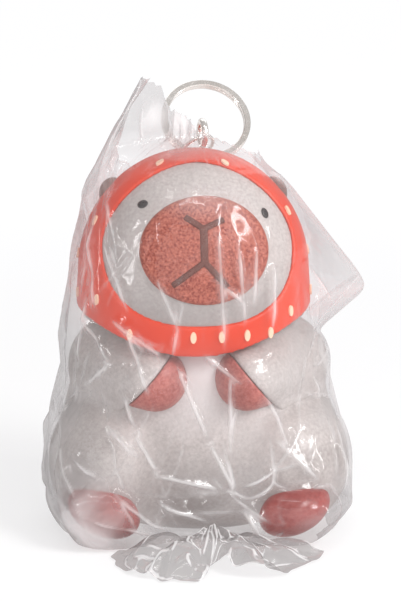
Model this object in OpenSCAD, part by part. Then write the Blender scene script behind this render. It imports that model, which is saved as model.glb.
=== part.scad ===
// Animal-figure keychain in a clear film bag: soft moulded-foam figure in a
// strawberry hood, screw eye, jump ring, split ring and the loose film bag.
// Millimetres. +Z up, the figure looks along -Y, +X is its left-hand side as
// seen by a viewer in front of it looking at it (the viewer's right).
// Origin: centre of the flat base.

/* [Figure] */
depth_ratio = 0.82;     // front-to-back size over side-to-side size
fit = 0.12;             // clearance between bonded foam pieces
skin = 1.6;             // hood thickness over the head
hood_r = 31.2;          // hood half width
hood_h = 33;            // hood dome height above its widest level
hood_z = 71.3;
hood_y = -10.5;
head_x = -1.4;          // the head leans a little to one side
face_turn = 5.5;          // and looks a little to the other
face_tilt = 9.9;        // the face opening looks up by this much
face_w = 24.9;          // half width of the face opening
face_h = 21.5;          // half height of the face opening
face_z = 81.6;
face_y = -30.5;

/* [Hardware] */
eye_x = 1.4;            // screw eye
eye_y = 1.5;
eye_z = 106.9;
eye_r = 3.2;            // centre line radius
eye_wire = 0.9;         // wire radius
eye_yaw = 12;
link_pos = [-0.103, 5.456, 102.194];
link_n = [-0.432, 0.594, 0.679];
link_r = 5.0;
link_wire = 0.5;
ring_pos = [2.75, 14.5, 108.675];
ring_n = [0.139, -0.777, 0.613];
ring_out = 12.5;
ring_in = 10.8;
ring_turn = 1.1;        // thickness of one turn of the split ring
ring_gap = 0.1;         // between its two turns

/* [Bag] */
film = 0.5;             // modelled thickness of the film
bag_y = -1;

$fn = 64;

// ---------- helpers ----------

module deep() scale([1, depth_ratio, 1]) children();

function ellipse(a, b, n = 40) =
    [for (i = [0 : n - 1]) [a * cos(360 * i / n), b * sin(360 * i / n)]];

// half profile of a superellipse, bottom to top
function dome(rx, rz, z, p, from, n) =
    [for (i = [0 : n]) let (t = from + (90 - from) * i / n)
        [i == n ? 0 : rx * pow(abs(cos(t)), 2 / p),
         z + rz * sign(sin(t)) * pow(abs(sin(t)), 2 / p)]];

// a shape turned so that its Z axis lies along d
module along(d) {
    rotate([0, acos(d[2] / norm(d)), atan2(d[1], d[0])]) children();
}

module rod(p, q, r) {
    hull() {
        translate(p) sphere(r);
        translate(q) sphere(r);
    }
}

// ---------- figure, drawn round and squashed by deep() ----------

module torso_shape(e = 0) {
    rotate_extrude() polygon([[0, 0 - e], [30.5 + e, 0 - e], [35 + e, 2.2],
        [37.6 + e, 6.5], [39.4 + e, 12], [40.4 + e, 19], [40.5 + e, 26],
        [39.4 + e, 34], [37 + e, 42], [33.6 + e, 49], [29 + e, 55],
        [23.5 + e, 59.3 + e], [16 + e, 61 + e], [0, 61 + e]]);
}

module head_shape(e = 0) {
    translate([head_x, hood_y, 0]) rotate_extrude()
        polygon(concat([[0, 57], [22 + e, 57], [26.6 + e, 59.6], [28.8 + e, 64]],
            dome(hood_r - skin + e, hood_h - skin + e, hood_z, 2, 0, 14)));
}

module hood_shape(e = 0) {
    translate([head_x, hood_y, 0]) rotate_extrude()
        polygon(concat([[0, 50], [28.9 + e, 50], [30.3 + e, 52.5],
            [31.2 + e, 56.5], [31.6 + e, 62], [31.5 + e, 67]],
            dome(hood_r + e, hood_h + e, hood_z, 2, 0, 14)));
}

// everything under the hood's lower rim, moved down by e
module below_rim(e = 0) {
    translate([0, 0, -e]) rotate([90, 0, 90])
        linear_extrude(height = 100, center = true)
            polygon([[-60, 30], [-60, 50.6], [-41.5, 51.2], [-36.6, 53.6],
                     [-31.7, 55.6], [-22, 57.4], [-9.8, 59.6], [4.9, 61.5],
                     [24, 62.5], [60, 62.5], [60, 30]]);
}

// a flat outline pushed out through the face
module faceward(h = 60) {
    translate([head_x, hood_y, face_z]) rotate([0, 0, face_turn])
        translate([0, face_y - hood_y, 0]) rotate([90 - face_tilt, 0, 0])
            translate([0, 0, -8]) linear_extrude(height = h) children();
}

// outline of the face opening: rounder above, squarer below
function face_hole(grow = 0) =
    [for (i = [0 : 59]) let (c = cos(6 * i), s = sin(6 * i), e = 2 / (s > 0 ? 1.75 : 2.35))
        [(face_w + grow) * sign(c) * pow(abs(c), e),
         (face_h + grow) * sign(s) * pow(abs(s), e)]];

// a raised pad that follows the face between two heights above it
module on_face(lo, hi) {
    intersection() {
        difference() { head_shape(hi); head_shape(lo); }
        faceward() children();
    }
}

module torso() { deep() torso_shape(); }

module head() {
    deep() difference() {
        head_shape();
        torso_shape(fit);
    }
}

module muzzle() { deep() on_face(0.1, 1.4) translate([0.5, -1.8]) polygon(ellipse(17, 14.3)); }

module nose_mouth() {
    deep() on_face(1.5, 2.1) {
        difference() {
            union() {
                polygon([[-0.8, -6], [1.4, -6], [1.4, 5.4], [-0.8, 5.4]]);
                polygon([[-5.1, 7.3], [-3.9, 8.4], [1.3, 5.2], [0.4, 3.6]]);
                polygon([[6.4, 6.6], [5.2, 7.8], [-0.6, 5.2], [0.4, 3.6]]);
                polygon([[-8.6, -10.6], [-7.4, -11.9], [1.0, -6.6], [0, -4.9]]);
                polygon([[7.4, -11.2], [6.2, -12.4], [-0.4, -6.6], [0.6, -4.9]]);
            }
        }
    }
}

module eye_pad(x, y, turn) {
    deep() on_face(0.1, 1.0) translate([x, y]) rotate(turn) polygon(ellipse(1.25, 1.5, 24));
}
module eye_left() { eye_pad(-15.2, 10.5, 60); }
module eye_right() { eye_pad(16.9, 7.4, 20); }

module hood() {
    deep() difference() {
        hood_shape();
        head_shape(fit);
        torso_shape(fit);
        below_rim();
        faceward() translate([-0.5, -0.3]) polygon(face_hole());
    }
}

// height angle of each row, and the angles round the hood
seed_ring = [[-22.5, [-51.5, -65, -78, -91.5, -123.5]], [-14.5, [-37.5]],
             [-9, [-145, -8, 20, 48, 76, 104, 132, 160, 190]],
             [9, [5, 38, 66, 94, 122, 156, 182]], [28, [-160, 34, 62, 90, 118, 146]],
             [33, [-22]], [47, [42, 90, 138]], [58, [66, 114]], [67, [-135, -51]]];

module hood_seeds() {
    deep() difference() {
        intersection() {
            difference() { hood_shape(0.55); hood_shape(0.05); }
            translate([head_x, hood_y, hood_z])
                for (row = seed_ring, az = row[1])
                    rotate([0, 0, az]) rotate([0, 90 - row[0], 0])
                        translate([0, 0, 20]) linear_extrude(height = 20)
                            polygon(ellipse(1.4, 0.8, 14));
        }
        faceward() translate([-0.5, -0.3]) polygon(face_hole(0.6));
        below_rim(-0.4);
    }
}

module ear(side) {
    deep() difference() {
        translate([head_x + side * 23.2, -7, 91.4]) sphere(4.2);
        hood_shape(fit);
    }
}
module ear_left() { ear(-1); }
module ear_right() { ear(1); }

shoulder = [25.5, -7, 51.5];
wrist = [11.9, -32.6, 44.3];
arm_r = 8.7;

module limb(side) {
    rod([side * shoulder[0], shoulder[1], shoulder[2]],
        [side * wrist[0], wrist[1], wrist[2]], arm_r, $fn = 36);
}

// the half space past the sleeve's slanted end
module past_cuff(side, e = 0) {
    p = [side * 12.9, -33, 44.6];
    d = [-side * 0.76, -0.15, -0.63];
    translate(p) along(d) translate([-40, -40, e]) cube([80, 80, 60]);
}

module arm(side) {
    deep() difference() {
        intersection() { limb(side); below_rim(fit); }
        torso_shape(fit);
        past_cuff(side, -fit);
    }
}
module paw(side) {
    deep() difference() {
        intersection() { limb(side); below_rim(fit); past_cuff(side); }
        torso_shape(fit);
    }
}
module arm_left() {
    difference() { mirror([1, 0, 0]) arm(1); deep() head_shape(fit); }
}
module arm_right() {
    difference() { arm(1); deep() head_shape(fit); }
}
module paw_left() { paw(-1); }
module paw_right() { paw(1); }

module foot(side, $fn = 36) {
    deep() difference() {
        rod([side * 20.4, -33.2, 7.0], [side * 28.6, -27.4, 9.6], 6.0);
        torso_shape(fit);
    }
}
module foot_left() { foot(-1); }
module foot_right() { mirror([1, 0, 0]) foot(-1); }

// ---------- hardware ----------

module screw_eye() {
    translate([eye_x, eye_y, eye_z]) rotate([0, 0, eye_yaw]) rotate([0, 90, 0])
        rotate_extrude() translate([eye_r, 0]) circle(eye_wire, $fn = 24);
    translate([eye_x, eye_y, 90]) cylinder(h = eye_z - eye_r - 90, r = eye_wire);
    // collar on top of the hood
    translate([eye_x, eye_y, 101.4]) cylinder(h = 0.9, r = 1.7);
}

module jump_ring() {
    translate(link_pos) along(link_n) rotate([0, 0, 200])
        rotate_extrude(angle = 357) translate([link_r, 0]) circle(link_wire, $fn = 20);
}

// one turn, slit where its wire ends
module turn_of_ring(z, end) {
    translate([0, 0, z]) difference() {
        rotate_extrude()
            polygon([[ring_in, 0.2], [ring_in + 0.2, 0], [ring_out - 0.2, 0], [ring_out, 0.2],
                     [ring_out, ring_turn - 0.2], [ring_out - 0.2, ring_turn],
                     [ring_in + 0.2, ring_turn], [ring_in, ring_turn - 0.2]]);
        rotate([0, 0, end]) translate([ring_in - 1, -0.2, -1]) cube([4, 0.4, 4]);
    }
}

module split_ring() {
    translate(ring_pos) along(ring_n) union() {
        turn_of_ring(ring_gap / 2, 20);
        turn_of_ring(-ring_turn - ring_gap / 2, 54);
        // the crossover that joins the two turns
        rotate([0, 0, 30]) rotate_extrude(angle = 14)
            polygon([[ring_in + 0.4, -0.5], [ring_out - 0.4, -0.5],
                     [ring_out - 0.4, 0.5], [ring_in + 0.4, 0.5]]);
    }
}

// ---------- film bag ----------

bag_out = [[46.4, 1.4], [46.2, 15], [45.5, 40], [44.8, 60], [43.5, 78], [41, 90],
           [36, 99], [28, 105], [20, 108], [10, 109.8], [0, 110]];
function bag_in() = [for (p = bag_out)
    [max(0, p[0] - film * (p[1] < 100 ? 1 : 0.5)), p[1] - film * (p[1] < 85 ? 0 : p[1] < 100 ? 0.5 : 1)]];

module bag_half(front) {
    deep() translate([0, bag_y / depth_ratio, 0]) difference() {
        translate([0, (front ? -0.35 : 0.35) / depth_ratio, 0])
            rotate([0, 0, front ? 180 : 0]) rotate_extrude(angle = 180)
                polygon(concat(bag_out, [for (i = [len(bag_out) - 1 : -1 : 0]) bag_in()[i]]));
        // the way out for the rings
        translate([2, 13.5, 88]) linear_extrude(height = 40) polygon(ellipse(17.5, 23.5, 40));
    }
}
module bag_front() { bag_half(true); }
module bag_back() { bag_half(false); }

module bag_seam(side) {
    outer = [for (p = bag_out) if (p[1] < 95) [side * (p[0] + 2.4), p[1]]];
    inner = [for (p = bag_in()) if (p[1] < 95) [side * p[0], p[1]]];
    deep() translate([0, bag_y / depth_ratio, 0]) rotate([90, 0, 0])
        linear_extrude(height = 0.7 / depth_ratio, center = true)
            polygon(concat(outer, [for (i = [len(inner) - 1 : -1 : 0]) inner[i]]));
}
module bag_seam_left() { bag_seam(-1); }
module bag_seam_right() { bag_seam(1); }

module bag_mouth() {
    deep() translate([0, bag_y / depth_ratio, 0]) rotate([0, 0, 230])
        rotate_extrude(angle = 80)
            polygon([[45.5, 0.8], [69, 0.8], [69, 1.4], [45.5, 1.4]]);
}

// ---------- output ----------

torso();
head();
muzzle();
nose_mouth();
eye_left();
eye_right();
hood();
hood_seeds();
ear_left();
ear_right();
arm_left();
arm_right();
paw_left();
paw_right();
foot_left();
foot_right();
screw_eye();
jump_ring();
split_ring();
bag_front();
bag_back();
bag_seam_left();
bag_seam_right();
bag_mouth();
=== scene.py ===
"""Looks for the foam animal keychain in its clear film bag.

The forms are worked out in millimetres, and as_object() turns a finished mesh into metres.
Node settings, the floor, the lamps and the camera are in metres."""

import math

import bpy
import numpy as np
from mathutils import Matrix, Vector
from mathutils.geometry import delaunay_2d_cdt


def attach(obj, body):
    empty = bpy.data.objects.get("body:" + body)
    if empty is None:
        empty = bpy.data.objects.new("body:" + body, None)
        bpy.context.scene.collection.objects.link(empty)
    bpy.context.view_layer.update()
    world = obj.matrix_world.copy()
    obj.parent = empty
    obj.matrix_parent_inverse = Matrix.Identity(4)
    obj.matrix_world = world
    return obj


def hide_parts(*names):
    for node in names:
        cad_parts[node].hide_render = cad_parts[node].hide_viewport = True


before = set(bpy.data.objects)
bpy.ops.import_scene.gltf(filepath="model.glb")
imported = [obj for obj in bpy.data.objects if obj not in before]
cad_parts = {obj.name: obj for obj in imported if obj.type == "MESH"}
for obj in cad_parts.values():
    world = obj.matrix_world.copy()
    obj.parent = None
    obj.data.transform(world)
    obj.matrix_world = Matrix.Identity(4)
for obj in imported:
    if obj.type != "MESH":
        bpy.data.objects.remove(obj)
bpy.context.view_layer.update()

DEPTH = 0.82  # front-to-back size over side-to-side size of every foam form
HEAD = np.array([-1.4, -8.6, 71.3])  # middle of the hood's dome
HOOD_R, HOOD_H, SKIN = 31.2, 33.0, 1.6
TURN, TILT = math.radians(5.5), math.radians(12.0)  # the face looks aside and up
FACE_AT = np.array([HEAD[0] + 16.4 * math.sin(TURN), -25.0, 81.6])
FACE_W, FACE_H = 24.9, 21.5  # half width and half height of the hood's opening
CORE = SKIN - 0.7  # how far the head's surface lies inside the hood's


# ---------------------------------------------------------------- shapes from distance fields


def grid(lo, hi, step):
    """The points of a box, a step apart, and its lowest corner."""
    axes = [np.arange(a, b + step, step, dtype=np.float32) for a, b in zip(lo, hi)]
    return np.meshgrid(*axes, indexing="ij"), np.array([a[0] for a in axes], float)


def surface_nets(f, origin, step):
    """Closed quad mesh of f = 0, f negative inside."""
    inside = f < 0
    n = tuple(k - 1 for k in f.shape)
    count = np.zeros(n, np.int8)
    for i in (0, 1):
        for j in (0, 1):
            for k in (0, 1):
                count += inside[i : i + n[0], j : j + n[1], k : k + n[2]]
    live = (count > 0) & (count < 8)
    index = -np.ones(n, np.int64)
    index[live] = np.arange(int(live.sum()))
    total = np.zeros(n + (3,), np.float32)
    hits = np.zeros(n, np.float32)
    for ax in range(3):
        u, v = [a for a in range(3) if a != ax]
        for du in (0, 1):
            for dv in (0, 1):
                start = [0, 0, 0]
                start[u], start[v] = du, dv
                end = list(start)
                end[ax] += 1
                a = f[tuple(slice(s, s + m) for s, m in zip(start, n))]
                b = f[tuple(slice(s, s + m) for s, m in zip(end, n))]
                cross = (a < 0) != (b < 0)
                t = np.where(cross, a / np.where(cross, a - b, 1), 0)
                total[..., u] += du * cross
                total[..., v] += dv * cross
                total[..., ax] += t * cross
                hits += cross
    cells = np.argwhere(live)
    verts = (cells + total[live] / hits[live][:, None]) * step + origin
    quads = []
    for ax in range(3):
        u, v = (ax + 1) % 3, (ax + 2) % 3
        lo = [slice(1, k - 1) for k in f.shape]
        hi = list(lo)
        lo[ax], hi[ax] = slice(0, f.shape[ax] - 1), slice(1, f.shape[ax])
        a, b = inside[tuple(lo)], inside[tuple(hi)]
        for flip in (False, True):
            p = np.argwhere((a != b) & (a == flip))
            p[:, u] += 1
            p[:, v] += 1
            ring = []
            for du, dv in ((-1, -1), (0, -1), (0, 0), (-1, 0)):
                q = p.copy()
                q[:, u] += du
                q[:, v] += dv
                ring.append(index[q[:, 0], q[:, 1], q[:, 2]])
            ring = np.stack(ring, 1)
            quads.append(ring[:, ::-1] if not flip else ring)
    return verts, np.concatenate(quads)


def relax(verts, quads, rounds):
    """Laplacian smoothing with a step back after each, so forms don't shrink."""
    pull = 0.5
    edges = np.concatenate([quads[:, [i, (i + 1) % 4]] for i in range(4)])
    edges = np.concatenate([edges, edges[:, ::-1]])
    degree = np.bincount(edges[:, 0], minlength=len(verts))[:, None]
    for _ in range(rounds):
        for w in (pull, -pull * 1.04):
            total = np.zeros_like(verts)
            for c in range(3):
                total[:, c] = np.bincount(edges[:, 0], verts[edges[:, 1], c], len(verts))
            verts = verts + w * (total / np.maximum(degree, 1) - verts)
    return verts


def smin(a, b, k):
    """The union of two fields, with a fillet about k wide."""
    h = np.clip(0.5 + 0.5 * (b - a) / k, 0, 1)
    return b + (a - b) * h - k * h * (1 - h)


def smax(a, b, k):
    """Where two fields overlap, with the edge rounded over about k."""
    return -smin(-a, -b, k)


def ellipsoid(p, c, r, turn=None):
    """Distance field, close to true near the surface; turn is the ellipsoid's rotation."""
    q = [p[i] - c[i] for i in range(3)]
    if turn is not None:
        q = [sum(turn[j][i] * q[j] for j in range(3)) for i in range(3)]
    k0 = np.sqrt(sum((q[i] / r[i]) ** 2 for i in range(3)))
    k1 = np.sqrt(sum((q[i] / r[i] ** 2) ** 2 for i in range(3)))
    return k0 * (k0 - 1) / np.maximum(k1, 1e-6)


def as_object(name, verts, quads, material):
    """A smooth-shaded mesh object, from millimetres to metres."""
    mesh = bpy.data.meshes.new(name)
    mesh.vertices.add(len(verts))
    mesh.vertices.foreach_set("co", (np.asarray(verts) * 0.001).astype(np.float32).ravel())
    quads = np.asarray(quads, np.int32)
    mesh.loops.add(quads.size)
    mesh.loops.foreach_set("vertex_index", quads.ravel())
    mesh.polygons.add(len(quads))
    starts = np.arange(0, quads.size, quads.shape[1], dtype=np.int32)
    mesh.polygons.foreach_set("loop_start", starts)
    mesh.polygons.foreach_set("use_smooth", np.ones(len(quads), bool))
    mesh.update(calc_edges=True)
    mesh.validate()
    obj = bpy.data.objects.new(name, mesh)
    bpy.context.scene.collection.objects.link(obj)
    mesh.materials.append(material)
    return obj


def solid(name, field, lo, hi, step, material, rounds):
    """A closed form where the field is negative, cut off just inside the box lo to hi."""
    p, origin = grid(lo, hi, step)
    f = field(p).astype(np.float32)
    for ax in range(3):
        for side in (0, -1):
            edge = [slice(None)] * 3
            edge[ax] = side
            f[tuple(edge)] = np.maximum(f[tuple(edge)], 0.3)
    verts, quads = surface_nets(f, origin, step)
    return as_object(name, relax(verts, quads, rounds), quads, material)


# ---------------------------------------------------------------- materials


class Nodes:
    """Short names for building a material's node tree."""

    def __init__(self, name):
        self.material = bpy.data.materials.new(name)
        self.material.use_nodes = True
        self.tree = self.material.node_tree
        self.shader = self.tree.nodes["Principled BSDF"]
        self.out = self.tree.nodes["Material Output"]

    def add(self, kind, inputs=None, **settings):
        node = self.tree.nodes.new("ShaderNode" + kind)
        for key, value in settings.items():
            setattr(node, key, value)
        for key, value in (inputs or {}).items():
            if isinstance(value, bpy.types.NodeSocket):
                self.tree.links.new(value, node.inputs[key])
            else:
                node.inputs[key].default_value = value
        return node

    def link(self, a, b):
        self.tree.links.new(a, b)

    def set(self, **values):
        for key, value in values.items():
            socket = self.shader.inputs[key.replace("_", " ")]
            if isinstance(value, bpy.types.NodeSocket):
                self.tree.links.new(value, socket)
            else:
                socket.default_value = value

    def ramp(self, fac, stops):
        node = self.add("ValToRGB", {"Fac": fac})
        band = node.color_ramp
        while len(band.elements) < len(stops):
            band.elements.new(0.5)
        for e, (at, colour) in zip(band.elements, stops):
            e.position, e.color = at, colour
        return node.outputs["Color"]

    def mix(self, fac, a, b):
        node = self.add("Mix", data_type="RGBA", blend_type="MIX")
        for key, value in (("Factor", fac), ("A", a), ("B", b)):
            socket = [s for s in node.inputs if s.name == key and s.enabled][0]
            if isinstance(value, bpy.types.NodeSocket):
                self.tree.links.new(value, socket)
            else:
                socket.default_value = value
        return [s for s in node.outputs if s.enabled][0]

    def noise(self, scale, detail, rough, at):
        inputs = {"Scale": scale, "Detail": detail, "Roughness": rough, "Vector": at}
        return self.add("TexNoise", inputs).outputs["Fac"]

    def position(self):
        return self.add("TexCoord").outputs["Object"]


BLACK, WHITE = (0, 0, 0, 1), (1, 1, 1, 1)


def grey(level):
    return (level, level, level, 1)


def srgb(r, g, b):
    """A colour given from 0 to 255, as the linear values that a shader takes."""

    def linear(c):
        c /= 255
        return c / 12.92 if c <= 0.04045 else ((c + 0.055) / 1.055) ** 2.4

    return (linear(r), linear(g), linear(b), 1.0)


def foam(name, base, shade, grain, rough, coat, speckled=True, fine=1100):
    """Airbrushed foam skin: slow mottling, fine paint grain, a soft sheen, and painted shade and painted
    light read from a point attribute.
    """
    n = Nodes(name)
    at = n.position()
    slow = n.noise(55, 4, 0.55, at)
    colour = n.mix(n.ramp(slow, [(0.3, BLACK), (0.72, WHITE)]), shade, base)
    if speckled:
        dots = n.noise(fine, 2, 0.7, at)
        colour = n.mix(n.ramp(dots, [(0.34, WHITE), (0.66, BLACK)]), colour, grain)
    painted_light_and_shade = n.add("Attribute", attribute_name="painted_light_and_shade").outputs["Fac"]
    painted_light = n.add("Math", {0: painted_light_and_shade, 1: -1.0}, operation="MULTIPLY", use_clamp=True).outputs[0]
    # painted shade: darker towards this colour where the attribute is above 0
    colour = n.mix(painted_light_and_shade, colour, (0.2, 0.185, 0.18, 1))
    # painted light: paler towards this colour where the attribute is below 0
    colour = n.mix(painted_light, colour, (0.92, 0.89, 0.89, 1))
    worn = n.noise(140, 3, 0.6, at)
    pores = n.noise(fine * 0.6, 3, 0.6, at)
    skin = n.add("Bump", {"Strength": 0.35, "Distance": 0.00014, "Height": pores})
    n.set(
        Base_Color=colour,
        Coat_Weight=coat,
        Coat_Roughness=0.18,
        Specular_IOR_Level=0.32,
        Roughness=n.ramp(worn, [(0.3, grey(rough - 0.06)), (0.7, grey(rough + 0.08))]),
        Normal=skin.outputs["Normal"],
    )
    return n.material


def foam_paint(name, base, shade, grain, *finish, **settings):
    return foam(name, srgb(*base), srgb(*shade), srgb(*grain), *finish, **settings)


GREY = foam_paint("foam_grey", (204, 197, 194), (188, 180, 177), (176, 168, 165), 0.45, 0.1)
MUZZLE = foam_paint("muzzle_brown", (132, 46, 31), (124, 40, 27), (190, 108, 88), 0.48, 0.06, fine=1500)
MOUTH = foam_paint("mouth_brown", (98, 48, 36), (88, 40, 30), (106, 56, 44), 0.5, 0.1)
EYE = foam_paint("eye_dark", (38, 28, 30), (30, 22, 24), (38, 28, 30), 0.22, 0.6, speckled=False)
HOOD = foam_paint("hood_coral", (222, 60, 9), (214, 52, 6), (222, 60, 9), 0.4, 0.05, speckled=False)
SEED = foam_paint("seed_cream", (250, 214, 184), (244, 200, 168), (250, 214, 184), 0.4, 0.2, speckled=False)
EAR = foam_paint("ear_brown", (112, 88, 80), (98, 74, 66), (124, 100, 92), 0.5, 0.1)
PAW = foam_paint("paw_pink", (172, 88, 80), (156, 72, 66), (190, 112, 102), 0.44, 0.14)
FOOT = foam_paint("foot_coral", (164, 58, 52), (150, 48, 44), (176, 76, 68), 0.34, 0.22)


def plated(name):
    """Bright plating with a slightly uneven polish."""
    n = Nodes(name)
    at = n.position()
    fine = n.noise(700, 3, 0.6, at)
    tint = n.noise(90, 3, 0.5, at)
    marks = n.add("Bump", {"Strength": 0.25, "Distance": 0.00004, "Height": fine})
    n.set(
        Base_Color=n.ramp(tint, [(0.3, srgb(226, 219, 213)), (0.75, srgb(246, 242, 238))]),
        Metallic=0.78,
        Roughness=n.ramp(fine, [(0.35, grey(0.12)), (0.7, grey(0.24))]),
        Normal=marks.outputs["Normal"],
    )
    return n.material


STEEL = plated("plated_steel")


# ---------------------------------------------------------------- the foam figure


def body_field(p):
    """Pear-shaped body with two thighs, flat underneath."""
    belly = ellipsoid(p, (0, 1.5, 26), (37.3, 30.5, 35))
    chest = ellipsoid(p, (0, 0, 46), (31, 26, 19))
    f = smin(belly, chest, 9)
    for s in (-1, 1):
        turn = Matrix.Rotation(math.radians(-14 * s), 3, "Y")
        f = smin(f, ellipsoid(p, (24.0 * s, -10.5, 20), (17.0, 22.4, 19.5), turn), 3.2)
    f = smax(f, -p[2], 5)
    return smax(f, p[2] - 60, 6)


def arm_field(p, s):
    """A tapered limb from the shoulder to the wrist."""
    a = np.array([24.0 * s, -6.0, 45.5])
    b = np.array([12.2 * s, -26.2, 45.1])
    ab = b - a
    t = sum((p[i] - a[i]) * ab[i] for i in range(3)) / (ab @ ab)
    t = np.clip(t, 0, 1)
    away = np.sqrt(sum((p[i] - a[i] - t * ab[i]) ** 2 for i in range(3)))
    return away - (11.2 - 2.6 * t)


def sleeve_field(p, s):
    """The arm with a fillet where it meets the body."""
    f = arm_field(p, s)
    return smax(smin(f, body_field(p) + 0.1, 5.0), f - 2.6, 0.6)


def cuff_field(p, s):
    """Negative on the paw's side of the sleeve's slanted end."""
    d = Vector((-0.76 * s, -0.15 * DEPTH, -0.63)).normalized()
    at = (12.9 * s, -33 * DEPTH, 45.3)
    bow = 0.012 * ((p[0] - at[0]) ** 2 + (p[2] - at[2]) ** 2)
    return -sum((p[i] - at[i]) * d[i] for i in range(3)) - bow * 0.4


def dome_field(p, less=0.0):
    """The hood's outside, or a form that much smaller."""
    x, y, z = (p[i] - HEAD[i] for i in range(3))
    round_r = np.sqrt(x * x + (y / DEPTH) ** 2)
    top = ellipsoid(p, HEAD, (HOOD_R - less, (HOOD_R - less) * DEPTH, HOOD_H - less))
    low = np.clip(-z, 0, 30)
    wide = HOOD_R + 0.45 * np.sin(np.clip(low / 9, 0, 1) * math.pi / 2)
    wide = np.where(low > 9, HOOD_R + 0.45 - (low - 9) ** 2 * 0.018, wide)
    side = (round_r - (wide - less)) * 0.93
    return np.where(z > 0, top, side)


def face_axes():
    """Directions across, up and out of the face."""
    level = math.cos(TILT)
    fwd = Vector((math.sin(TURN) * level, -math.cos(TURN) * level, math.sin(TILT)))
    right = Vector((math.cos(TURN), math.sin(TURN), 0))
    return np.array(right), np.array(right.cross(-fwd)), np.array(fwd)


RIGHT, UP, FWD = face_axes()


def on_face(p):
    """Coordinates across, up and out of the face."""
    q = [p[i] - FACE_AT[i] for i in range(3)]
    return [sum(q[i] * a[i] for i in range(3)) for a in (RIGHT, UP, FWD)]


def opening_field(p):
    """Negative inside the hood's face opening."""
    u, v, w = on_face(p)
    e = np.where(v > 0, 1.75, 2.35)  # rounder above, squarer below
    k = (np.abs((u + 0.5) / FACE_W) ** e + np.abs((v + 0.3) / FACE_H) ** e) ** (1 / e)
    hole = (k - 1) * np.sqrt(FACE_W * FACE_H)
    return np.maximum(hole, -w - 12)


EAR_R = (3.9, 4.4, 4.5)  # an ear bump's half sizes


def ear_at(s):
    """Middle of an ear: s is -1 on the left, 1 on the right."""
    return (HEAD[0] + 21.5 * s, -6.0, 91.6)


def rim_z(y):
    """Height of the hood's lower edge, front to back."""
    return 62.5 - 10.6 * np.exp(-(np.maximum(y, -34.5) + 33) / 9)


def head_field(p):
    return smax(dome_field(p, CORE), 57.5 - p[2], 5)


def hood_field(p):
    """The dome with its face opening, above the rim."""
    f = smax(dome_field(p), -opening_field(p), 1.3)
    return smax(f, (rim_z(p[1]) - p[2]) * 0.8, 1.2)


def points_of(obj):
    """The mesh's points in millimetres."""
    co = np.empty(len(obj.data.vertices) * 3, np.float32)
    obj.data.vertices.foreach_get("co", co)
    return co.reshape(-1, 3) * 1000


def add_painted_light_and_shade(obj, painted_light_and_shade):
    """Painted shade, point by point: how much darker the colour is made; painted light, paler, where it is
    below 0.
    """
    attribute = obj.data.attributes.new("painted_light_and_shade", "FLOAT", "POINT")
    attribute.data.foreach_set("value", painted_light_and_shade.astype(np.float32))


body = solid("torso_foam", body_field, (-46, -38, -2), (46, 38, 64), 0.9, GREY, 8)
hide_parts("torso")
co = points_of(body)
# painted shade on the lower belly, low down between the thighs
painted_light_and_shade = 0.36 * np.exp(-(((co[:, 0] / 13) ** 2) ** 1.6) - ((co[:, 2] - 9) / 16) ** 4)
# painted light on the chest between the paws, lifting the shade under the hood
painted_light_and_shade -= 0.75 * np.exp(-((co[:, 0] / 13) ** 2) - ((co[:, 2] - 49) / 13) ** 2)
add_painted_light_and_shade(body, np.where(co[:, 1] < 0, painted_light_and_shade, 0))
sleeves, paws, feet, eyes, ears = [], [], [], [], []
for s, side in ((-1, "left"), (1, "right")):
    lo = (min(0, s * 42), -40, 30)
    hi = (max(0, s * 42), 12, 65)
    arm = solid(
        f"sleeve_{side}",
        lambda p: smax(sleeve_field(p, s), -cuff_field(p, s) + 0.05, 0.5),
        lo, hi, 0.6, GREY, 3,
    )
    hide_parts(f"arm_{side}")
    paw = solid(
        f"pad_{side}",
        lambda p: smax(arm_field(p, s) + 0.05, cuff_field(p, s) + 0.05, 0.5),
        lo, hi, 0.5, PAW, 3,
    )
    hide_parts(f"paw_{side}")
    outward = Matrix.Rotation(math.radians(24 * s), 3, "Z")
    turn = Matrix.Rotation(math.radians(-20 * s), 3, "Y") @ outward
    foot_at = ((24.9 if s > 0 else 26.0) * s, -29.6, 9.9)
    foot = solid(
        f"foot_{side}_foam",
        lambda p: ellipsoid(p, foot_at, (10.4, 7.4, 6.6), turn),
        (min(0, s * 42), -40, -1), (max(0, s * 42), -12, 20), 0.5, FOOT, 3,
    )
    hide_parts(f"foot_{side}")
    sleeves.append(arm)
    paws.append(paw)
    feet.append(foot)

head = solid("head_foam", head_field, (-36, -38, 52), (34, 22, 106), 0.8, GREY, 5)
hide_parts("head")
co = points_of(head)
# painted shade on the face: darker towards the bottom and on the left side, away from the key lamp
low_face = np.clip((78 - co[:, 2]) / 14, 0, 1)
left_face = np.clip((-8 - co[:, 0]) / 14, 0, 1)
add_painted_light_and_shade(head, np.where(co[:, 1] < 0, np.maximum(0.5 * low_face, 0.28 * left_face), 0))
hood = solid("hood_foam", hood_field, (-38, -39, 46), (36, 24, 108), 0.7, HOOD, 4)
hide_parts("hood")


def pad_field(p, outline, lift, soft):
    """A pad that follows the face: outline is its flat distance field across the face."""
    u, v, w = on_face(p)
    skin = dome_field(p, CORE)
    f = smax(skin - lift, outline(u, v), soft)
    f = np.maximum(f, -w - 8)
    return np.maximum(f, -(skin + 1.2))


def oval(u, v, cu, cv, a, b, turn=0.0):
    """Flat distance field of an ellipse with half sizes a and b round (cu, cv)."""
    c, s = math.cos(turn), math.sin(turn)
    x, y = (u - cu) * c + (v - cv) * s, -(u - cu) * s + (v - cv) * c
    k = np.sqrt((x / a) ** 2 + (y / b) ** 2)
    k1 = np.sqrt((x / a**2) ** 2 + (y / b**2) ** 2)
    return k * (k - 1) / np.maximum(k1, 1e-6)


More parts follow.
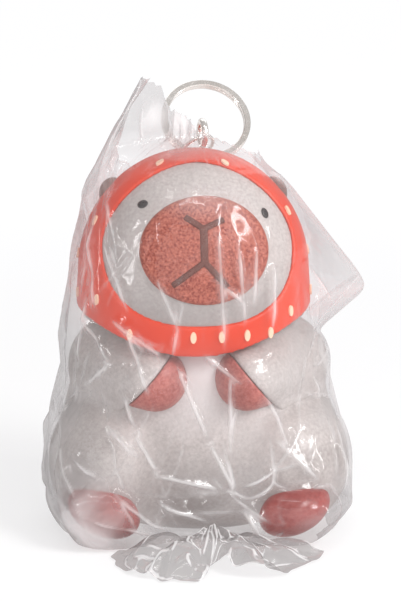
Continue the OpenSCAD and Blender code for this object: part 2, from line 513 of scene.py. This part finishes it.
def bar(u, v, a, b, half):
    """Flat distance field of a square-ended bar from a to b, half its width."""
    au, av, bu, bv = *a, *b
    dx, dy = bu - au, bv - av
    length = math.hypot(dx, dy)
    along = ((u - au) * dx + (v - av) * dy) / length
    across = np.abs((u - au) * dy - (v - av) * dx) / length
    return np.maximum(across - half, np.maximum(-along, along - length))


def mouth_outline(u, v):
    """An upright bar, forked at its top and its bottom."""
    f = bar(u, v, (-0.3, -5.8), (-0.3, 4.0), 1.0)
    for start, end in (
        ((-0.3, 3.4), (-5.0, 6.7)),
        ((-0.3, 3.4), (5.2, 5.8)),
        ((-0.3, -5.3), (-8.7, -11.2)),
        ((-0.3, -5.3), (5.7, -11.9)),
    ):
        f = np.minimum(f, bar(u, v, start, end, 0.8))
    return f


face_lo, face_hi = (-24, -40, 60), (24, -16, 104)
muzzle = solid(
    "muzzle_pad",
    lambda p: pad_field(p, lambda u, v: oval(u, v, 0.3, -2.1, 17.0, 14.3), 1.1, 1.2),
    face_lo, face_hi, 0.5, MUZZLE, 3,
)
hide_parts("muzzle")
mouth = solid(
    "mouth_bars",
    lambda p: pad_field(p, mouth_outline, 1.55, 0.3),
    (-14, -40, 64), (14, -24, 94), 0.3, MOUTH, 2,
)
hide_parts("nose_mouth")
for side, cu, cv, a, b, turn in (
    ("left", -15.2, 10.5, 1.4, 1.05, 0.5),
    ("right", 16.9, 7.4, 0.95, 1.5, 0.35),
):
    eye = solid(
        f"eye_{side}_dot",
        lambda p: pad_field(p, lambda u, v: oval(u, v, cu, cv, a, b, turn), 0.45, 0.5),
        (cu - 7, -40, 82), (cu + 8, -12, 100), 0.22, EYE, 2,
    )
    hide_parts(f"eye_{side}")
    eyes.append(eye)
for s, side in ((-1, "left"), (1, "right")):
    ear = solid(
        f"ear_{side}_bump",
        lambda p: ellipsoid(p, ear_at(s), EAR_R),
        (ear_at(s)[0] - 7, -14, 85), (ear_at(s)[0] + 7, 4, 100), 0.4, EAR, 2,
    )
    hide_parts(f"ear_{side}")
    ears.append(ear)

for name, material in (
    ("screw_eye", STEEL), ("jump_ring", STEEL), ("split_ring", STEEL), ("hood_seeds", SEED),
):
    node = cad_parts[name]
    node.data.materials.clear()
    node.data.materials.append(material)

for o in [body, head, hood, muzzle, mouth] + sleeves + paws + feet + ears + eyes:
    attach(o, "figure")


# ---------------------------------------------------------------- the floor


def light_table(name):
    """White sweep: lit by the lamps near the object, glowing evenly farther out."""
    n = Nodes(name)
    far = n.add("VectorMath", {0: n.position()}, operation="LENGTH").outputs["Value"]
    n.set(
        Base_Color=n.ramp(far, [(0.05, grey(0.36)), (0.5, grey(0.02))]),
        Emission_Color=n.ramp(far, [(0.05, (0.60, 0.595, 0.60, 1)), (0.5, (0.99, 0.99, 1, 1))]),
        Emission_Strength=1.0,
        Roughness=0.9,
        Specular_IOR_Level=0.0,
    )
    return n.material


bpy.ops.mesh.primitive_plane_add(size=14, location=(0, 0, 0))
floor = bpy.context.object
floor.name = "floor"
floor.data.materials.append(light_table("floor_white"))

# ---------------------------------------------------------------- the film bag


def facets(u, v, cell, stretch, seed):
    """Height from -1 to 1 of a creased sheet: flat facets between random points.

    u, v are flat coordinates; cell is the usual facet size, stretched along v. The random
    stream is a fixed one, the same on every machine."""
    rng = np.random.RandomState(seed)
    cu, cv = cell, cell * stretch
    u0, u1, v0, v1 = u.min() - 2 * cu, u.max() + 2 * cu, v.min() - 2 * cv, v.max() + 2 * cv
    nu, nv = int(round((u1 - u0) / cu)), int(round((v1 - v0) / cv))
    gu, gv = np.meshgrid(np.arange(nu), np.arange(nv), indexing="ij")
    pu = (u0 + (gu + rng.uniform(0.08, 0.92, gu.shape)) * cu).ravel()
    pv = (v0 + (gv + rng.uniform(0.08, 0.92, gv.shape)) * cv).ravel()
    h = rng.uniform(-1, 1, gu.shape).ravel()
    pts = [Vector((float(a), float(b) / stretch)) for a, b in zip(pu, pv)]
    tris = delaunay_2d_cdt(pts, [], [], 0, 1e-5)[2]
    out = np.zeros(u.shape)
    us, vs = u, v / stretch
    slack = 1e-6  # points on a shared edge belong to both facets
    for t in tris:
        if len(t) != 3 or max(t) >= len(pts):
            continue
        (ax, ay), (bx, by), (cx, cy) = pts[t[0]], pts[t[1]], pts[t[2]]
        det = (by - cy) * (ax - cx) + (cx - bx) * (ay - cy)
        if abs(det) < 1e-9:
            continue
        near = (
            (us >= min(ax, bx, cx) - slack) & (us <= max(ax, bx, cx) + slack)
            & (vs >= min(ay, by, cy) - slack) & (vs <= max(ay, by, cy) + slack)
        )
        x, y = us[near], vs[near]
        wa = ((by - cy) * (x - cx) + (cx - bx) * (y - cy)) / det
        wb = ((cy - ay) * (x - cx) + (ax - cx) * (y - cy)) / det
        wc = 1 - wa - wb
        ok = (wa >= -slack) & (wb >= -slack) & (wc >= -slack)
        vals = wa * h[t[0]] + wb * h[t[1]] + wc * h[t[2]]
        part = out[near]
        part[ok] = vals[ok]
        out[near] = part
    return out


def sheet_mesh(name, grid_pts, closed, material, ridge_gain, extra, shade):
    """A mesh from a grid of points, with two values at each point for the film's material.

    "ridge" whitens the sharp creases as a painted highlight, and extra is its least value; "shade" greys
    the film as painted shade."""
    m, n = grid_pts.shape[:2]
    p = grid_pts.reshape(-1, 3)
    i, j = np.meshgrid(np.arange(m if closed else m - 1), np.arange(n - 1), indexing="ij")
    i2 = (i + 1) % m
    quads = np.stack([i * n + j, i2 * n + j, i2 * n + j + 1, i * n + j + 1], -1).reshape(-1, 4)
    obj = as_object(name, p, quads, material)
    along = np.roll(grid_pts, -1, 0) - np.roll(grid_pts, 1, 0)
    if not closed:
        along[0], along[-1] = grid_pts[1] - grid_pts[0], grid_pts[-1] - grid_pts[-2]
    normal = np.cross(along, np.gradient(grid_pts, axis=1))
    normal /= np.maximum(np.linalg.norm(normal, axis=-1, keepdims=True), 1e-9)
    turn_i = np.linalg.norm(np.roll(normal, -1, 0) - np.roll(normal, 1, 0), axis=-1)
    turn_j = np.linalg.norm(np.gradient(normal, axis=1), axis=-1) * 2
    if not closed:
        turn_i[0] = turn_i[-1] = 0
    ridge = np.clip((np.hypot(turn_i, turn_j) - 0.14) * 1.5 * ridge_gain, 0, 1)
    ridge = np.maximum(blur(ridge, 0.7, 0.7, closed), extra)
    for key, value in (("ridge", ridge), ("shade", shade + 0 * ridge)):
        attr = obj.data.attributes.new(key, "FLOAT", "POINT")
        attr.data.foreach_set("value", value.astype(np.float32).ravel())
    return obj


def film_material(name, haze):
    """Clear thin film: whiter on creases by a painted highlight, whiter edge-on, greyer by painted shade,
    with a broken gloss.
    """
    n = Nodes(name)
    at = n.position()
    n.tree.nodes.remove(n.shader)

    def math_node(operation, *values, clamp=False):
        inputs = dict(enumerate(values))
        return n.add("Math", inputs, operation=operation, use_clamp=clamp).outputs[0]

    ridge = n.add("Attribute", attribute_name="ridge").outputs["Fac"]
    cells = n.add("TexVoronoi", {"Vector": at, "Scale": 150.0}, feature="DISTANCE_TO_EDGE")
    height = math_node("ADD", cells.outputs["Distance"], n.noise(110, 1.5, 0.5, at))
    bump = n.add("Bump", {"Strength": 0.5, "Distance": 0.0006, "Height": height}).outputs["Normal"]
    shade = n.add("Attribute", attribute_name="shade").outputs["Fac"]
    # painted shade greys the film's milky colour
    white = n.mix(shade, (0.86, 0.845, 0.85, 1), (0.42, 0.40, 0.40, 1))
    # painted highlight: creases turn whiter
    crease = n.ramp(ridge, [(0.45, BLACK), (0.8, WHITE)])
    white = n.mix(crease, white, (0.9, 0.89, 0.895, 1))
    veil = n.add("BsdfDiffuse", {"Color": white, "Normal": bump})
    through = n.add("BsdfTranslucent", {"Color": white, "Normal": bump})
    milk = n.add("MixShader", {0: 0.5, 1: veil.outputs[0], 2: through.outputs[0]})
    edge = n.add("LayerWeight", {"Blend": 0.25}).outputs["Facing"]
    pass_on = n.ramp(edge, [(0.2, (0.96, 0.952, 0.955, 1)), (0.95, (0.66, 0.64, 0.65, 1))])
    # painted shade also greys what is seen through the film
    pass_on = n.mix(shade, pass_on, (0.6, 0.58, 0.575, 1))
    clear = n.add("BsdfTransparent", {"Color": pass_on})
    cloud = n.ramp(n.noise(38, 3, 0.6, at), [(0.42, BLACK), (0.72, WHITE)])
    amount = math_node("MULTIPLY_ADD", cloud, haze, haze)
    amount = math_node("MULTIPLY_ADD", edge, 0.17, amount)
    amount = math_node("MULTIPLY_ADD", ridge, 0.8, amount, clamp=True)
    mixed = n.add("MixShader", {0: amount, 1: clear.outputs[0], 2: milk.outputs[0]})
    gloss = n.add("BsdfGlossy", {"Color": WHITE, "Roughness": 0.13, "Normal": bump})
    shine = n.add("Fresnel", {"IOR": 1.42, "Normal": bump}).outputs[0]
    shine = math_node("MINIMUM", shine, 0.16)
    full = n.add("MixShader", {0: shine, 1: mixed.outputs[0], 2: gloss.outputs[0]})
    n.link(full.outputs[0], n.out.inputs["Surface"])
    return n.material


FILM = film_material("clear_film", 0.027)


# The rings stand on this patch of the plan; the bag keeps clear of it so it can be pulled off.
COLUMN = [(-11.5, -4.5), (17.5, -4.5), (17.5, 26.0), (-11.5, 26.0)]
AXIS = (-1.0, 0.0)  # the upright line that the bag's angles are measured round
N_AROUND, N_UP = 660, 300  # the tube's mesh
TOP_PATH = [  # across, and the height of the front's upper edge there
    (-30, 97), (-24, 104), (-17.2, 123.6), (-10.2, 121), (-8.6, 116), (-4.5, 114.2), (1.2, 108.4),
    (8, 105.4), (13, 103.6), (20, 99.5), (28, 93), (44.3, 68.9), (46.9, 64.6), (60, 60),
]
LEFT_EDGE = [  # height, and how far across the film reaches there
    (0, -37.5), (6, -40), (14, -42.5), (26, -42.6), (40, -40.5), (53, -38), (73, -34), (90, -31.2),
    (98.4, -27.8), (107.3, -24), (115.6, -20.8), (123.7, -16.4),
]
RIGHT_EDGE = [
    (0, 37.5), (8, 42.4), (25, 41), (40, 37), (49, 33.5), (52.5, 33.5), (64.2, 46.9), (68.7, 44.3),
    (93, 25.5), (103, 14), (123, 12),
]


def read_off(x, line):
    """A value read off a line of (x, value) points."""
    return np.interp(x, [a for a, b in line], [b for a, b in line])


def figure_field(p):
    """The forms that the film lies on, with feet a little larger than their pieces."""
    f = body_field(p)
    for s in (-1, 1):
        f = np.minimum(f, arm_field(p, s))
        f = np.minimum(f, ellipsoid(p, (25.5 * s, -29.6, 9.9), (11.0, 8.6, 7.0)))
        f = np.minimum(f, ellipsoid(p, ear_at(s), EAR_R))
    return np.minimum(f, dome_field(p))


def reach(theta, z):
    """How far out from AXIS the figure comes, with a gap, at each angle and height."""
    gap, outside = 1.1, 62.0
    r = np.full(theta.shape, outside)
    dx, dy = np.cos(theta), np.sin(theta)
    for _ in range(30):  # steps inwards from outside until it meets the figure
        f = figure_field([AXIS[0] + dx * r, AXIS[1] + dy * r, z]) - gap
        r = np.clip(r - np.clip(f * 0.7, -2, 4), 0.5, outside)
    return r


def hull_reach(pts, th):
    """Distance to the convex hull of pts along each angle from the origin inside it."""
    pts = sorted(set((round(float(x), 4), round(float(y), 4)) for x, y in pts))

    def turns_right(a, b, c):
        return (b[0] - a[0]) * (c[1] - a[1]) <= (b[1] - a[1]) * (c[0] - a[0])

    def half(points):
        out = []
        for q in points:
            while len(out) > 1 and turns_right(out[-2], out[-1], q):
                out.pop()
            out.append(q)
        return out[:-1]

    ring = np.array(half(pts) + half(pts[::-1]))
    at = np.arctan2(ring[:, 1], ring[:, 0]) % (2 * math.pi)
    order = np.argsort(at)
    ring, at = ring[order], at[order]
    i = np.searchsorted(at, th % (2 * math.pi), side="right") - 1
    a, b = ring[i], ring[(i + 1) % len(ring)]
    d = np.stack([np.cos(th), np.sin(th)], 1)
    e = b - a
    return (a[:, 0] * e[:, 1] - a[:, 1] * e[:, 0]) / (d[:, 0] * e[:, 1] - d[:, 1] * e[:, 0])


def blur(a, across, up, around=True):
    """Gaussian blur over a grid, whose first axis joins up with itself where around is true."""
    for ax, sigma in ((0, across), (1, up)):
        half = int(3 * sigma) + 1
        k = np.exp(-0.5 * (np.arange(-half, half + 1) / sigma) ** 2)
        k /= k.sum()
        pad = [(0, 0), (0, 0)]
        pad[ax] = (half, half)
        b = np.pad(a, pad, mode="wrap" if ax == 0 and around else "edge")
        a = np.apply_along_axis(lambda r: np.convolve(r, k, "valid"), ax, b)
    return a


def creases(x, z, lines):
    """Sharp raised folds along straight lines: ((x, z), (x, z), height, half width)."""
    out = np.zeros(x.shape)
    for (ax, az), (bx, bz), high, wide in lines:
        dx, dz = bx - ax, bz - az
        t = np.clip(((x - ax) * dx + (z - az) * dz) / (dx * dx + dz * dz), 0, 1)
        away = np.hypot(x - ax - t * dx, z - az - t * dz)
        away = np.hypot(away, 0.3) - 0.3
        taper = np.clip(np.minimum(t, 1 - t) * 3.2, 0, 1) ** 0.8
        uneven = 0.78 + 0.22 * np.sin(0.55 * t * math.hypot(dx, dz) + ax)
        out = np.maximum(out, high * taper * uneven * np.exp(-1.9 * away / wide))
    return out


FOLDS = [  # long folds over the front: from and to (across, height), how high, half width
    ((-22, 112), (-31, 66), 1.6, 1.2), ((-19, 116), (-26, 78), 1.3, 1.1), ((-31, 84), (-36, 44), 1.8, 1.3),
    ((-28, 72), (-35, 34), 1.4, 1.2), ((-34, 52), (-39, 16), 1.6, 1.4), ((-38, 30), (-30, 6), 1.4, 1.4),
    ((-16, 119), (-12, 101), 1.4, 1.2), ((-12, 101), (-2, 108), 1.2, 1.2), ((-19, 108), (-9, 99), 1.0, 1.2),
    ((30, 88), (42, 68), 0.8, 1.0), ((28, 76), (38, 60), 0.9, 1.1), ((36, 36), (40, 8), 1.4, 1.3),
    ((30, 46), (36, 26), 1.2, 1.3), ((20, 30), (32, 18), 1.1, 1.3), ((-14, 16), (2, 9), 1.2, 1.3),
    ((-26, 34), (-16, 26), 1.2, 1.2), ((4, 90), (6, 52), 0.7, 0.9), ((19, 78), (18, 58), 0.8, 0.9),
    ((-5, 68), (-8, 52), 0.8, 1.0), ((0, 54), (10, 46), 1.0, 1.2), ((-24, 62), (-10, 53), 1.2, 1.3),
    ((-17, 33), (-11, 23), 1.6, 2.2), ((-20, 44), (-17, 34), 1.4, 1.8),
    ((-7, 52), (2, 30), 1.5, 1.6), ((2, 30), (10, 14), 1.8, 2.0), ((10, 14), (17, 2), 2.0, 2.2),
    ((-12, 22), (6, 17), 1.5, 1.8), ((6, 17), (18, 9), 1.3, 1.8),
    ((7, 50), (8, 21), 1.3, 1.4), ((-28, 20), (-6, 4), 2.2, 2.4), ((-34, 26), (-27, 20), 1.5, 2.0),
    ((-6, 4), (22, 5), 1.8, 1.8), ((-34, 12), (-8, 3), 1.8, 2.2), ((26, 24), (8, 17), 1.2, 1.6),
    ((-29, 100), (-27, 60), 1.6, 1.5), ((-25, 103), (-22, 76), 1.5, 1.6), ((-26, 84), (-19, 63), 1.2, 1.4),
    ((-31, 62), (-24, 50), 1.6, 1.8), ((-24, 50), (-31, 42), 1.4, 1.6), ((-20, 61), (-14, 44), 1.2, 1.5),
    ((16, 44), (24, 26), 1.1, 1.5), ((9, 86), (11, 60), 0.8, 1.0), ((3, 74), (12, 66), 0.8, 1.2),
    ((14, 82), (13, 66), 0.9, 1.1), ((-12, 74), (-6, 60), 0.9, 1.1), ((33, 70), (31, 52), 1.0, 1.3),
]


def bag_radii(th, heights):
    """Distances from AXIS at each angle and height: those of the figure and the rings, the least
    that still lets the bag slide up past every form, and the film's own."""
    theta, z = np.meshgrid(th, heights, indexing="ij")
    coarse = reach(theta[::3, ::2], z[::3, ::2])
    coarse = np.stack([np.interp(heights, heights[::2], row) for row in coarse])
    turn = np.append(th[::3], 2 * math.pi)
    own = np.stack([np.interp(th, turn, np.append(c, c[0])) for c in coarse.T], 1) + 0.3
    column = hull_reach([(x - AXIS[0], y - AXIS[1]) for x, y in COLUMN], th)
    own = np.maximum(own, column[:, None])
    least = np.maximum.accumulate(own[:, ::-1], 1)[:, ::-1]
    film = np.empty_like(least)
    out = np.stack([np.cos(th), np.sin(th)], 1)
    for j, h in enumerate(heights):
        pts = list(out * least[:, j : j + 1])
        left_y = np.interp(h, [0, 60, 95, 110, 124], [2, -2, -5, -8, -9])
        for edge, y in ((LEFT_EDGE, left_y), (RIGHT_EDGE, 0.5)):
            x = read_off(h, edge)
            pts += [(x - AXIS[0], y - 1.2 - AXIS[1]), (x - AXIS[0], y + 1.2 - AXIS[1])]
        film[:, j] = hull_reach(pts, th)
    return own, least, np.maximum(blur(film, 0.6, 1.2), least)


def upper_edge(th, heights, film):
    """Height of the tube's upper edge at each angle: TOP_PATH in front, lower behind the rings."""
    x = AXIS[0] + np.cos(th)[:, None] * film
    ok = heights[None, :] <= read_off(x, TOP_PATH)
    front_top = np.array([heights[np.nonzero(c)[0].max()] if c.any() else 90 for c in ok])
    back_top = 98.5 + 2.5 * np.sin(2 * th + 0.6) + 1.6 * np.sin(5 * th)
    w = 1 / (1 + np.exp(-(-np.sin(th) + 0.10) / 0.035))
    top = front_top * w + np.minimum(back_top, front_top) * (1 - w)
    nicks = np.random.RandomState(5).uniform(-0.7, 0.5, 70)
    return top + np.interp(th, np.linspace(0, 2 * math.pi, 70), nicks)


def spot(x, z, cx, cz, rx, rz):
    """A soft round patch, 1 in its middle."""
    return np.exp(-(((x - cx) / rx) ** 2 + ((z - cz) / rz) ** 2))


def tube_veil(x, z, fall, patch, front):
    """How milky the film is over the front, with painted light on the chest and on some facets of the
    belly.
    """
    low = np.clip((40 - z) / 30, 0, 1)
    veil = (0.13 + 0.2 * low) * np.exp(-(((x + 31) / 8) ** 2)) + 0.42 * spot(x, z, -27, 9, 12, 11)
    for cx, cz, rx, rz, much in (
        # the first three are beside the screw eye
        (-5, 111, 6.5, 5, 0.6), (-11.5, 114.5, 7.5, 9, 0.42), (-6, 107, 4.5, 2.6, 0.35),
        # (0, 45.5) is painted light on the chest between the paws
        (0, 45.5, 6.5, 8, 0.25), (1, 93, 12, 4, 0.24), (27, 10, 8, 6, 0.2),
    ):
        veil = veil + much * spot(x, z, cx, cz, rx, rz)
    crumple = 0.45 * facets(x, z, 3.4, 1.6, 19) * np.clip((z - 104) / 4, 0, 1)
    veil = veil * (1 + 0.24 * np.clip(fall, -2, 2)) * (0.9 + crumple)
    # painted light on the lighter facets of the belly
    return (veil + 0.34 * np.clip(patch - 0.1, 0, 1)) * front


def sealed_strip(x, z):
    """The milky strip along the corner that sticks out on the right, with its two lines."""
    ax, az, bx, bz = 46.9, 64.2, 32.5, 51.5
    inside = ((x - ax) * (bz - az) - (z - az) * (bx - ax)) / math.hypot(bx - ax, bz - az)
    strip = (np.abs(inside) < 4.4) & (x > 31) & (z > 46)
    return 0.22 * strip + 0.3 * strip * (np.abs(np.abs(inside) - 4.1) < 0.35)


def tube_shade(x, z, patch, front):
    """How grey the film is, as painted shade: at the left edge, near the floor, on the peak and on the
    darker facets of the belly.
    """
    shade = 0.25 * np.clip(-(x + 20) / 14, 0, 1) + 0.5 * np.clip((20 - z) / 16, 0, 1)
    shade = shade + 0.5 * np.clip((z - 100) / 10, 0, 1)
    shade = np.maximum(shade, 0.07 * np.clip((x - 26) / 6, 0, 1))
    return shade + 0.36 * np.clip(-patch, 0, 1) * front


def build_tube():
    """The bag: a tube of film round the figure, open at the top."""
    th = np.linspace(0, 2 * math.pi, N_AROUND, endpoint=False)
    heights = np.arange(0.7, 124.7, 1.0)
    own, least, film = bag_radii(th, heights)
    top = upper_edge(th, heights, film)
    foot = heights[0]
    z = foot + (top[:, None] - foot) * np.linspace(0, 1, N_UP)[None, :]

    def at_mesh(radii):
        return np.stack([np.interp(z[i], heights, radii[i]) for i in range(N_AROUND)])

    big, small = at_mesh(film), at_mesh(least)
    bare = blur(at_mesh(own), 2, 3.5)
    theta = th[:, None]
    u = theta * 40 + 0 * z  # distance round the bag, at its usual radius
    left = np.exp(-(((theta - math.pi * 1.02) / 0.75) ** 2))
    low = np.clip((40 - z) / 30, 0, 1)
    loose = 0.55 + 0.9 * left + 0.7 * low + 0.8 * np.clip((z - 101) / 8, 0, 1)
    fall = 2.3 * facets(u + z * 0.35, z, 14, 2.6, 11)
    fall += 1.0 * facets(u - z * 0.5, z, 7, 2.2, 12)
    fall += 0.22 * facets(u, z, 3.6, 1.8, 13)
    seamless = np.clip(np.minimum(theta, 2 * math.pi - theta) / 0.12, 0, 1)
    x = AXIS[0] + np.cos(theta) * big
    front = np.clip(-np.sin(theta) * 3, 0, 1)
    folds = creases(x, z, FOLDS) * front
    steep = np.abs(np.gradient(big, axis=1) / np.gradient(z, axis=1))
    calm = 1 / (1 + (blur(steep, 2, 3) / 1.3) ** 2)  # where the film lies nearly flat on top
    r = big + (fall * loose * seamless * 0.9 - 0.5 * loose + folds) * calm
    r = np.maximum(r, small - 0.55 + (0.12 * np.abs(fall) + 0.8 * folds) * calm)
    side = np.clip(0.5 + 0.5 * np.cos(theta - math.radians(-45)), 0, 1)
    tuck = (3.0 + 5.5 * side) * np.clip(1 - z / 9, 0, 1) ** 1.6  # turns in under the feet
    tuck += 9.0 * front * np.exp(-(((x - 1) / 13) ** 4)) * np.clip(1 - z / 12, 0, 1) ** 1.2
    r = np.maximum(r - tuck, np.minimum(r, bare - 0.4))
    pts = np.stack([AXIS[0] + np.cos(theta) * r, AXIS[1] + np.sin(theta) * r, z], -1)
    left_seam = np.exp(-(((x - read_off(z, LEFT_EDGE)) / 1.5) ** 2))
    right_seam = np.exp(-(((x - read_off(z, RIGHT_EDGE)) / 1.2) ** 2))
    # big facets of painted light and painted shade over the belly; the mesh has no fold under them
    patch = facets(x, z, 8.5, 1.2, 17) * np.clip((60 - z) / 12, 0, 1)
    veil = np.maximum(tube_veil(x, z, fall, patch, front), sealed_strip(x, z))
    edge = np.clip(1 - (top[:, None] - z), 0, 1) * 0.5
    milky = np.maximum(np.maximum(0.5 * np.maximum(left_seam, right_seam), veil), edge)
    return sheet_mesh("film_tube", pts, True, FILM, calm, milky, tube_shade(x, z, patch, front))


END_REACH = [  # direction in degrees, and how far the gathered film reaches that way
    (-168, 25), (-150, 29), (-128, 31.5), (-109, 31), (-97, 28), (-90, 18), (-83, 19), (-73, 25),
    (-63, 31), (-37, 31.5), (-16, 33),
]


def build_end():
    """The bag's open mouth, gathered and lying on the floor in front."""
    a = np.linspace(0, 1, 360)[:, None]  # round the fan
    b = np.linspace(0, 1, 110)[None, :]  # outwards from the gather
    phi = math.radians(-168) + a * math.radians(152)
    nicks = np.random.RandomState(21).uniform(-1.8, 1.0, 34)
    far = read_off(np.degrees(phi), END_REACH) + np.interp(a, np.linspace(0, 1, 34), nicks)
    r = far * (0.04 + 0.96 * b)
    swirl = 0.10 * np.sin(b * 5 + a * 9)
    x = 1.5 + np.cos(phi + swirl) * r
    y = -31.5 + np.sin(phi + swirl) * r
    fan = facets(a * 90 + 6 * np.sin(b * 3 + a * 11), b * 26 + 0 * a, 5.0, 3.0, 31)
    chunk = facets(x, y, 7.5, 1.0, 34)
    bits = facets(x, y, 3.6, 1.0, 32)
    rise = np.sin(np.clip(b * 1.05, 0, 1) * math.pi) ** 0.7
    z = 3.8 * rise + 2.8 * fan * (0.3 + 0.9 * b) * (1 - 0.45 * b**3)
    z = z + 3.0 * chunk * (0.3 + 0.7 * b) + 1.7 * bits
    z = 1.2 + z * (0.5 + 0.5 * np.sin(a * math.pi) ** 0.6)
    z = np.maximum(z + 1.6 * (1 - b) ** 1.5, 0.35 + 0.25 * (bits + 1))
    x = x + 0.5 * bits + 1.2 * chunk
    y = np.maximum(y + 0.9 * fan * b, -61.8)
    pts = np.stack([blur(c, 2.2, 2.0, False) for c in (x, y, z)], -1)
    milky = 0.22 + 0.22 * chunk + 0.12 * bits
    # shade 0.85: painted shadow on the gathered film on the floor, with the grey of its many layers
    return sheet_mesh("film_end", pts, False, FILM, 3.2, milky, 0.85)


tube = build_tube()
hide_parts("bag_front", "bag_back", "bag_seam_left", "bag_seam_right")
end = build_end()
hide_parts("bag_mouth")
for o in (tube, end):
    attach(o, "bag")


# ---------------------------------------------------------------- light and camera

world = bpy.data.worlds.new("studio")
bpy.context.scene.world = world
world.use_nodes = True
world.node_tree.nodes["Background"].inputs["Color"].default_value = (1, 1, 1, 1)
world.node_tree.nodes["Background"].inputs["Strength"].default_value = 0.38


def area(name, at, aim, size, power):
    """A rectangular lamp at a point, aimed at another."""
    light = bpy.data.lights.new(name, "AREA")
    light.shape = "RECTANGLE"
    light.size, light.size_y = size
    light.energy = power
    o = bpy.data.objects.new(name, light)
    o.location = at
    o.rotation_euler = (Vector(aim) - Vector(at)).to_track_quat("-Z", "Y").to_euler()
    bpy.context.scene.collection.objects.link(o)


area("key", (0.5, -0.5, 0.55), (0, 0, 0.06), (0.28, 0.28), 5.2)
area("strip_left", (-0.55, -0.4, 0.22), (0, 0, 0.06), (0.04, 0.5), 1.0)
area("strip_right", (0.62, -0.25, 0.2), (0, 0, 0.06), (0.04, 0.5), 1.0)
area("strip_top", (-0.05, -0.35, 0.7), (0, 0, 0.08), (0.5, 0.04), 0.8)
area("front", (0.05, -0.8, 0.2), (0, 0, 0.05), (1.2, 0.7), 3.0)
area("back", (0.0, 0.8, 0.8), (0, 0, 0.08), (1.4, 0.9), 4)

scene = bpy.context.scene
camera = bpy.data.objects.new("camera", bpy.data.cameras.new("camera"))
scene.collection.objects.link(camera)
scene.camera = camera
CAM_AZ, CAM_EL, CAM_D = math.radians(-2.0), math.radians(12.0), 0.62
VIEW_H = 0.275e-3 * 601  # height of what the picture shows at the target
target = Vector((0.0008, 0, 0.0608))
flat = math.cos(CAM_EL)
away = Vector((math.sin(CAM_AZ) * flat, -math.cos(CAM_AZ) * flat, math.sin(CAM_EL)))
camera.location = target + away * CAM_D
camera.rotation_euler = (-away).to_track_quat("-Z", "Y").to_euler()
camera.data.sensor_width = 36
camera.data.lens = camera.data.sensor_width * CAM_D / VIEW_H
camera.data.clip_start = 0.01

scene.view_settings.view_transform = "Standard"
